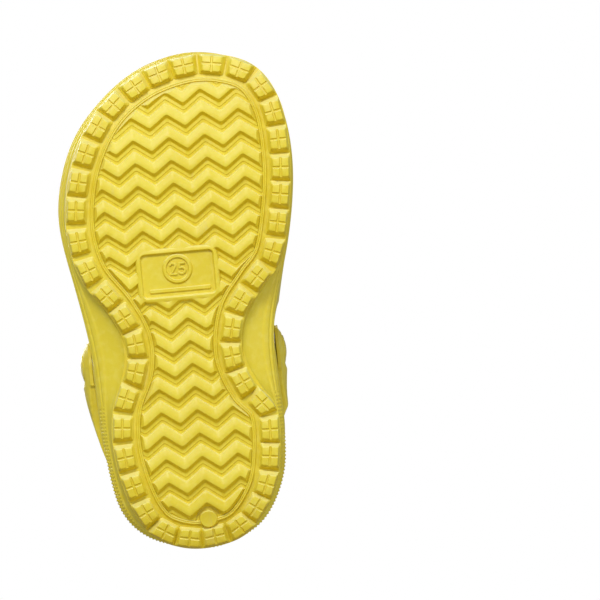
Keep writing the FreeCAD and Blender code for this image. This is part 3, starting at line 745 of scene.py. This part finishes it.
# ---- upper, strap and rivets ---------------------------------------------------------------------
def relaxed(obj, rounds, keep=None):
    """Rounds an evenly meshed object's edges without shrinking it, and returns its points in mm.

    keep gives each point's share of the rounding; without it, every point gets all of it.
    """
    co = per_vertex(obj, "co").astype(float)
    count = len(co)
    ends = np.empty(len(obj.data.edges) * 2, np.int32)
    obj.data.edges.foreach_get("vertices", ends)
    a, b = ends.reshape(-1, 2).T
    links = np.bincount(a, minlength=count) + np.bincount(b, minlength=count)
    share = np.ones(count) if keep is None else keep(co / MM)
    for i in range(rounds * 2):
        total = np.stack([np.bincount(a, co[b, c], count) + np.bincount(b, co[a, c], count)
                          for c in range(3)], 1)
        pull = total / np.maximum(links, 1)[:, None] - co
        co += pull * (share * (0.55 if i % 2 == 0 else -0.57))[:, None]
    move_to(obj, co)
    return co / MM


def resurfaced(node, name, voxel):
    """A copy of a CAD node as an even mesh, ready to be rounded and shaped."""
    obj = bpy.data.objects.new(name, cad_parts[node].data.copy())
    obj.data.materials.clear()
    bpy.context.scene.collection.objects.link(obj)
    step = obj.modifiers.new("remesh", "REMESH")
    step.mode, step.voxel_size, step.use_smooth_shade = "VOXEL", voxel * MM, True
    settle(obj)
    return obj


def moved_along_normals(obj, change):
    """Moves each vertex along its normal by change(points in mm, normals) mm."""
    co, normals = per_vertex(obj, "co"), per_vertex(obj, "normal")
    move_to(obj, co + normals * change(co / MM, normals)[:, None] * MM)


def upper():
    """The foam upper: the CAD shell with rounded vents and collar, on the sharp line of the seam."""
    obj = resurfaced("upper_shell", "upper_foam", 0.62)

    def rounding(points):
        """Least at the seam, so that the bottom edge stays on the midsole."""
        over = points[:, 2] - ground_z(points[:, 1]) - RIM_LIFT
        return 0.15 + 0.85 * step_up(over, 0.5, 2.0)
    relaxed(obj, 7, rounding)

    def swelling(points, normals):
        """The wall swells a little beside the strap's arms."""
        over = points[:, 2] - ground_z(points[:, 1])
        place = window(points[:, 1], 16, 24, 46, 56) * window(over, RIM_LIFT, RIM_LIFT + 2, 26, 34)
        outward = np.sign(points[:, 0] - COLLAR_MIDDLE[0]) * normals[:, 0]
        return 0.6 * place * step_up(outward, 0.5, 0.8)
    moved_along_normals(obj, swelling)
    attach(obj, "clog")
    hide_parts("upper_shell")
    return obj


def strap_face_line():
    """The strap's outer face from above, round the heel from one end to the other, and its inward normals."""
    lateral, medial = BOSS_X["lateral"] - STRAP_OUT, BOSS_X["medial"] + STRAP_OUT
    ends_y = (-8.0, 5.0, 18.0, STRAP_BEND_Y)
    loop = [(lateral, y) for y in ends_y] + list(STRAP_PLAN) + [(medial, y) for y in ends_y[::-1]]
    line = even_loop(smooth_loop(loop), 900)
    inward = loop_frames(line)[0]
    arms = line[:, 1] > 5.0
    return line[arms], inward[arms]


def slimmed(points):
    """The strap's arms and ends with a domed and thinner outer face, flared smoothly into the ends."""
    line, inward = strap_face_line()
    x, y, z = points.T
    nearest = np.concatenate([np.linalg.norm(line[None] - part[:, None, :2], axis=2).argmin(1)
                              for part in np.array_split(points, 40)])
    towards = inward[nearest]
    depth = np.linalg.norm(points[:, :2] - line[nearest], axis=1)
    share = 1 - np.clip(depth / STRAP_THICK, 0, 1)
    middle_z = PIVOT_Z + STRAP_RISE * np.clip((y - PIVOT_Y) / (LENGTH / 2 + 5 - PIVOT_Y), 0, 1)

    disc = np.sqrt(np.clip(STRAP_END_RADIUS ** 2 - (y - PIVOT_Y) ** 2, 0, None))
    now = np.maximum(STRAP_HALF_HEIGHT, disc)
    wanted = np.maximum(disc, STRAP_HALF_HEIGHT + 3.0 * (1 - step_up(y, PIVOT_Y, 50)))
    rise = np.where(y > PIVOT_Y, (z - middle_z) * wanted / now, z - PIVOT_Z)

    from_pivot = np.hypot(y - PIVOT_Y, z - PIVOT_Z)
    round_end = 3.0 * np.clip(from_pivot / 8.6, 0, 1.1) ** 2.4
    crowned = 3.0 * np.clip(np.abs(rise) / 8.6, 0, 1.1) ** 2.4 * (1 - step_up(y, PIVOT_Y, 56))
    leaving = np.where(y > PIVOT_Y, step_up(from_pivot, 4.0, 7.6), 0)
    dome = round_end * (1 - leaving) + crowned * leaving
    arm = np.where(x < COLLAR_MIDDLE[0], 1.4 * window(y, 23, 44, 60, 74),
                   MEDIAL_HEAD_SINK + 1.6 * window(y, 24, 42, 56, 74) - MEDIAL_HEAD_SINK * step_up(y, 56, 74))
    closer = 0.4 * window(y, 24, 30, 46, 56) * (1 - share)
    moved = points.copy()
    moved[:, :2] += towards * (np.minimum(dome + arm, 3.1) * share + closer)[:, None]
    moved[:, 2] = np.where(y > PIVOT_Y, middle_z + rise, z)
    return moved


def strap():
    """The heel strap: the CAD strap slimmed, rounded and grooved."""
    obj = resurfaced("heel_strap", "strap_foam", 0.36)
    move_to(obj, slimmed(relaxed(obj, 6)) * MM)
    relaxed(obj, 40, lambda p: window(p[:, 1], 22, 26, 34, 42) * step_up(np.abs(p[:, 2] - PIVOT_Z), 3, 5))
    middle_x = (BOSS_X["lateral"] + BOSS_X["medial"]) / 2

    def ribs(points, normals):
        """Two shallow grooves along the outer face, which fade out before the rivet's head."""
        rise = STRAP_RISE * np.clip((points[:, 1] - PIVOT_Y) / (LENGTH / 2 + 5 - PIVOT_Y), 0, 1)
        across = points[:, 2] - PIVOT_Z - rise
        outward = np.where(points[:, 1] < 60, np.sign(points[:, 0] - middle_x) * normals[:, 0],
                           (points[:, 0] - middle_x) / 33 * normals[:, 0] + normals[:, 1])
        face = step_up(outward, 0.5, 0.9)
        clear = step_up(np.hypot(points[:, 1] - PIVOT_Y, points[:, 2] - PIVOT_Z), 7.5, 12)
        return face * clear * (-0.4 * (bump(across, 3.4, 0.8) + bump(across, -3.4, 0.8)))
    moved_along_normals(obj, ribs)
    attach(obj, "strap")
    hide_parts("heel_strap")
    return obj


def turned(name, side, profile, sides=48):
    """A solid turned about the hinge line: profile is (distance out from the boss, radius)."""
    out = math.copysign(1, BOSS_X[side])
    a = np.arange(sides) / sides * 2 * math.pi
    y, z = np.cos(a), np.sin(a)
    rings = [np.column_stack([np.full(sides, BOSS_X[side] + out * d), PIVOT_Y + r * y, PIVOT_Z + r * z])
             for d, r in profile]
    obj = solid(name, stacked(rings))
    smooth_by_angle(obj, 35)
    return obj


def rivets():
    """Snap rivets: a domed head with a ring groove on the outside, and a cap inside the collar."""
    made = []
    wall, end = -BOSS_DEPTH, -BOSS_DEPTH - CAP_THICK
    inner = end + 0.8
    for side, sink in (("lateral", 0.0), ("medial", MEDIAL_HEAD_SINK)):
        top = STRAP_OUT + 0.15 - sink
        under = top - HEAD_THICK
        post = turned(side + "_rivet_head", side, (
            (inner, SHANK_RADIUS - 0.3), (inner + 0.3, SHANK_RADIUS), (under - 0.02, SHANK_RADIUS),
            (under, HEAD_RADIUS - 0.25), (under + 0.15, HEAD_RADIUS), (top - 1.1, HEAD_RADIUS),
            (top - 0.9, HEAD_RADIUS - 0.13), (top - 0.76, HEAD_RADIUS - 0.45),
            (top - 0.62, HEAD_RADIUS - 1.0), (top - 0.5, 3.7), (top - 0.58, 3.5), (top - 0.54, 3.3),
            (top - 0.38, 3.15), (top - 0.17, 2.2), (top - 0.05, 1.2), (top, 0.15)))
        cap = turned(side + "_rivet_cap", side, (
            (wall, CAP_RADIUS - 0.15), (wall - 0.15, CAP_RADIUS), (wall - 1.5, CAP_RADIUS),
            (wall - 2.1, CAP_RADIUS - 0.25), (wall - 2.45, CAP_RADIUS - 0.7), (end, CAP_RADIUS - 1.3),
            (end, 2.2), (end + 0.3, 1.8), (end + 0.3, 0.1)))
        for obj, node in ((post, side + "_rivet_post"), (cap, side + "_rivet_socket")):
            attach(obj, "clog")
            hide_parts(node)
            made.append(obj)
    return made


# ---- materials -----------------------------------------------------------------------------------
def linear(r, g, b):
    """sRGB 0-255 to a linear colour."""
    shares = (r / 255, g / 255, b / 255)
    return tuple(c / 12.92 if c <= 0.04045 else ((c + 0.055) / 1.055) ** 2.4 for c in shares) + (1,)


YELLOW, DEEP_YELLOW, PALE_YELLOW = linear(231, 213, 60), linear(225, 203, 44), linear(240, 227, 110)
PAINTED_SHADE_YELLOW, PAINTED_HIGHLIGHT_YELLOW = linear(214, 184, 4), linear(247, 238, 140)     # painted shade on the tread's heel faces; painted highlight on its toe faces below
SCUFF, DIRT = linear(214, 196, 108), linear(96, 78, 24)
RIVET_YELLOW, RIVET_DEEP = linear(232, 214, 60), linear(222, 202, 46)
WASHER_PALE, WASHER_DEEP = linear(238, 236, 222), linear(226, 222, 204)
FLOOR_TONES = linear(236, 236, 234), linear(240, 240, 239)


class Nodes:
    """Builds one material's node tree."""

    def __init__(self, name):
        self.material = bpy.data.materials.new(name)
        self.material.use_nodes = True
        self.tree = self.material.node_tree
        self.shader = self.tree.nodes["Principled BSDF"]
        self.where = self.tree.nodes.new("ShaderNodeTexCoord").outputs["Object"]

    def join(self, source, socket):
        """Feeds a socket from another node's output, or sets it to a plain value."""
        if isinstance(source, (int, float, tuple)):
            socket.default_value = source
        else:
            self.tree.links.new(source, socket)

    def node(self, kind, **values):
        """A new node with plain values for some of its sockets; From_Min stands for From Min."""
        node = self.tree.nodes.new("ShaderNode" + kind)
        for socket, value in values.items():
            node.inputs[socket.replace("_", " ")].default_value = value
        return node

    def noise(self, scale, detail, roughness=0.5, stretch=None):
        node = self.node("TexNoise", Scale=scale, Detail=detail, Roughness=roughness)
        place = self.where
        if stretch:
            mapping = self.node("Mapping", Scale=stretch, Rotation=(0.0, 0.0, 0.4))
            self.join(place, mapping.inputs["Vector"])
            place = mapping.outputs["Vector"]
        self.join(place, node.inputs["Vector"])
        return node.outputs["Fac"]

    def facing(self, axis):
        """1 where the surface faces along the axis, -1 where it faces against it."""
        split = self.node("SeparateXYZ")
        self.join(self.where.node.outputs["Normal"], split.inputs[0])
        return split.outputs[axis]

    def cells(self, scale):
        node = self.node("TexVoronoi", Scale=scale)
        self.join(self.where, node.inputs["Vector"])
        return node

    def spread(self, value, low, high, to_low=0.0, to_high=1.0):
        """The value mapped from low..high to to_low..to_high, and held there."""
        node = self.node("MapRange", From_Min=low, From_Max=high, To_Min=to_low, To_Max=to_high)
        self.join(value, node.inputs["Value"])
        return node.outputs["Result"]

    def math(self, operation, a, b):
        node = self.node("Math")
        node.operation = operation
        self.join(a, node.inputs[0])
        self.join(b, node.inputs[1])
        return node.outputs[0]

    def mix(self, share, a, b):
        node = self.node("Mix")
        node.data_type = "RGBA"
        self.join(share, node.inputs["Factor"])
        self.join(a, node.inputs[6])
        self.join(b, node.inputs[7])
        return node.outputs[2]

    def bump(self, height, distance, before=None):
        node = self.node("Bump", Distance=distance)
        self.join(height, node.inputs["Height"])
        if before is not None:
            self.join(before, node.inputs["Normal"])
        return node.outputs["Normal"]


def foam(name, base, deep, pale, grain, rough, scuffs, painted_shade=None):
    """Moulded EVA: mottled colour, fine skin grain, small dirt specks and faint scuffs.

    The last argument is a deeper colour painted as shade on the faces towards the heel, which the key light
    from the toe side doesn't reach. The faces towards the toe that also look down, towards that light, are
    then painted pale as a highlight.
    """
    m = Nodes(name)
    mottle = m.spread(m.noise(38.0, 4.0), 0.35, 0.68)
    colour = m.mix(mottle, base, deep)
    blush = m.spread(m.noise(420.0, 3.0), 0.45, 0.75, 0.0, 0.35)
    colour = m.mix(blush, colour, pale)
    rub = m.spread(m.noise(150.0, 5.0, 0.65, (1.0, 0.22, 1.0)), 0.62, 0.74, 0.0, scuffs)
    colour = m.mix(rub, colour, SCUFF)
    cells = m.cells(300.0)
    lone = m.spread(cells.outputs["Color"], 0.955, 0.96)
    dot = m.spread(cells.outputs["Distance"], 0.05, 0.16, 1.0, 0.0)
    patches = m.spread(m.noise(60.0, 1.0), 0.5, 0.58, 0.0, 0.75)
    speck = m.math("MULTIPLY", m.math("MULTIPLY", lone, dot), patches)
    colour = m.mix(speck, colour, DIRT)
    # Painted shade: faces towards the heel, away from the key light, take a deeper colour
    if painted_shade:
        heelward, upward = m.facing("Y"), m.facing("Z")
        colour = m.mix(m.spread(heelward, 0.1, 0.6), colour, painted_shade)
        # Painted highlight: faces towards the toe that also look down, towards the key light, are painted
        # pale
        underneath = m.spread(upward, -0.1, -0.28)
        painted_highlight = m.math("MULTIPLY", m.spread(heelward, -0.25, -0.7, 0.0, 0.9), underneath)
        colour = m.mix(painted_highlight, colour, PAINTED_HIGHLIGHT_YELLOW)
    m.join(colour, m.shader.inputs["Base Color"])
    skin = m.noise(grain, 2.0, 0.6)
    sheen = m.spread(m.noise(210.0, 4.0, 0.6), 0.3, 0.7, rough - 0.07, rough + 0.1)
    m.join(sheen, m.shader.inputs["Roughness"])
    coarse = m.bump(m.noise(700.0, 3.0), 0.00006)
    m.join(m.bump(skin, 0.000035, coarse), m.shader.inputs["Normal"])
    m.shader.inputs["Specular IOR Level"].default_value = 0.42
    m.shader.inputs["Subsurface Weight"].default_value = 0.12
    m.shader.inputs["Subsurface Radius"].default_value = (1.0, 0.75, 0.15)
    m.shader.inputs["Subsurface Scale"].default_value = 0.0012
    return m.material


def hard_plastic(name, base, deep, rough):
    """Moulded rivet and washer plastic: slight flow marks, fine scratches."""
    m = Nodes(name)
    colour = m.mix(m.spread(m.noise(160.0, 3.0), 0.35, 0.7), base, deep)
    m.join(colour, m.shader.inputs["Base Color"])
    scratch = m.noise(900.0, 3.0, 0.6, (1.0, 0.08, 1.0))
    m.join(m.spread(scratch, 0.35, 0.7, rough - 0.05, rough + 0.12), m.shader.inputs["Roughness"])
    m.join(m.bump(m.noise(2600.0, 2.0), 0.00002), m.shader.inputs["Normal"])
    m.shader.inputs["Specular IOR Level"].default_value = 0.5
    return m.material


def dress(objects, material):
    """Gives the objects one material."""
    for obj in objects:
        obj.data.materials.clear()
        obj.data.materials.append(material)


# ---- light, floor and camera ---------------------------------------------------------------------
def soft_light(name, place, size, power):
    """A square area light that looks at the shoe's footprint."""
    data = bpy.data.lights.new(name, "AREA")
    data.shape, data.size, data.size_y, data.energy = "RECTANGLE", size, size, power
    obj = bpy.data.objects.new(name, data)
    obj.location = place
    obj.rotation_mode = "QUATERNION"
    obj.rotation_quaternion = (-Vector(place)).to_track_quat("-Z", "Y")
    bpy.context.scene.collection.objects.link(obj)


def studio():
    """White surroundings, a key from the toe side below, a fill beside it, and a light over the shoe."""
    scene = bpy.context.scene
    scene.view_settings.view_transform = "Standard"
    world = bpy.data.worlds.new("studio")
    scene.world = world
    world.use_nodes = True
    tree = world.node_tree
    seen, lighting = tree.nodes["Background"], tree.nodes.new("ShaderNodeBackground")
    for background, strength in ((seen, 1.0), (lighting, AMBIENT)):
        background.inputs["Color"].default_value = (1.0, 1.0, 1.0, 1)
        background.inputs["Strength"].default_value = strength
    path, mix = tree.nodes.new("ShaderNodeLightPath"), tree.nodes.new("ShaderNodeMixShader")
    tree.links.new(path.outputs["Is Camera Ray"], mix.inputs[0])
    tree.links.new(lighting.outputs[0], mix.inputs[1])
    tree.links.new(seen.outputs[0], mix.inputs[2])
    tree.links.new(mix.outputs[0], tree.nodes["World Output"].inputs["Surface"])
    for light in LIGHTS:
        soft_light(*light)


def floor():
    """A plain pale floor, far below: the sole is seen from underneath, so the camera is above it.

    It glows a little, and more with distance, so that it shows no shadow's edge and no far corner.
    """
    half = FLOOR_HALF / MM
    plane = mesh_object("floor", [(-half, -half, 0), (half, -half, 0), (half, half, 0), (-half, half, 0)],
                        [(0, 1, 2, 3)])
    plane.location.z = FLOOR_Z
    m = Nodes("pale_floor")
    tone = m.spread(m.noise(1.5, 2.0), 0.3, 0.7)
    m.join(m.mix(tone, *FLOOR_TONES), m.shader.inputs["Base Color"])
    m.shader.inputs["Roughness"].default_value = 0.8
    m.shader.inputs["Emission Color"].default_value = (1.0, 1.0, 1.0, 1)
    away = m.node("VectorMath")
    away.operation = "LENGTH"
    m.join(m.where, away.inputs[0])
    m.join(m.spread(away.outputs["Value"], *FLOOR_GLOW), m.shader.inputs["Emission Strength"])
    plane.data.materials.append(m.material)


def camera():
    """Straight below the sole, looking up, as the shoe is seen lying on its back."""
    data = bpy.data.cameras.new("camera")
    data.sensor_width = 36.0
    data.lens = data.sensor_width * CAMERA_DISTANCE / FRAME_WIDTH
    obj = bpy.data.objects.new("camera", data)
    bpy.context.scene.collection.objects.link(obj)
    bpy.context.scene.camera = obj
    lo, hi = CAD_BOX
    target = Vector(((lo.x + hi.x) / 2, (lo.y + hi.y) / 2, AIM_HEIGHT))
    place = Vector((target.x, target.y, target.z - CAMERA_DISTANCE))
    roll = math.radians(ROLL_DEGREES)
    right = Vector((math.cos(roll), math.sin(roll), 0))       # picture right, in the shoe's frame
    up = Vector((math.sin(roll), -math.cos(roll), 0))
    # The picture is wider than this one shoe: the camera stays below it and turns to aim beside it.
    aim = target + right * FRAME_AIM[0] + up * FRAME_AIM[1]
    back = (place - aim).normalized()
    x_axis = (right - back * right.dot(back)).normalized()
    turn = Matrix((x_axis, back.cross(x_axis), back)).transposed().to_4x4()
    obj.matrix_world = Matrix.Translation(place) @ turn
    data.clip_start, data.clip_end = 0.05, 100


# ---- the scene -----------------------------------------------------------------------------------
sole = tread()
middle = midsole()
grip = heel_grip()
shell = upper()
band = strap()
hardware = rivets()
dress([sole], foam("foam_tread", YELLOW, DEEP_YELLOW, PALE_YELLOW, 2600.0, 0.45, 0.5, PAINTED_SHADE_YELLOW))
dress(middle, foam("foam_body", YELLOW, DEEP_YELLOW, PALE_YELLOW, 3000.0, 0.46, 0.3))
dress([grip, shell], foam("foam_upper", YELLOW, DEEP_YELLOW, PALE_YELLOW, 3000.0, 0.43, 0.25))
dress([band], foam("foam_strap", YELLOW, DEEP_YELLOW, PALE_YELLOW, 2800.0, 0.42, 0.3))
dress(hardware, hard_plastic("rivet_plastic", RIVET_YELLOW, RIVET_DEEP, 0.28))
dress([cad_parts[side + "_washer"] for side in BOSS_X],
      hard_plastic("washer_plastic", WASHER_PALE, WASHER_DEEP, 0.35))
studio()
floor()
camera()
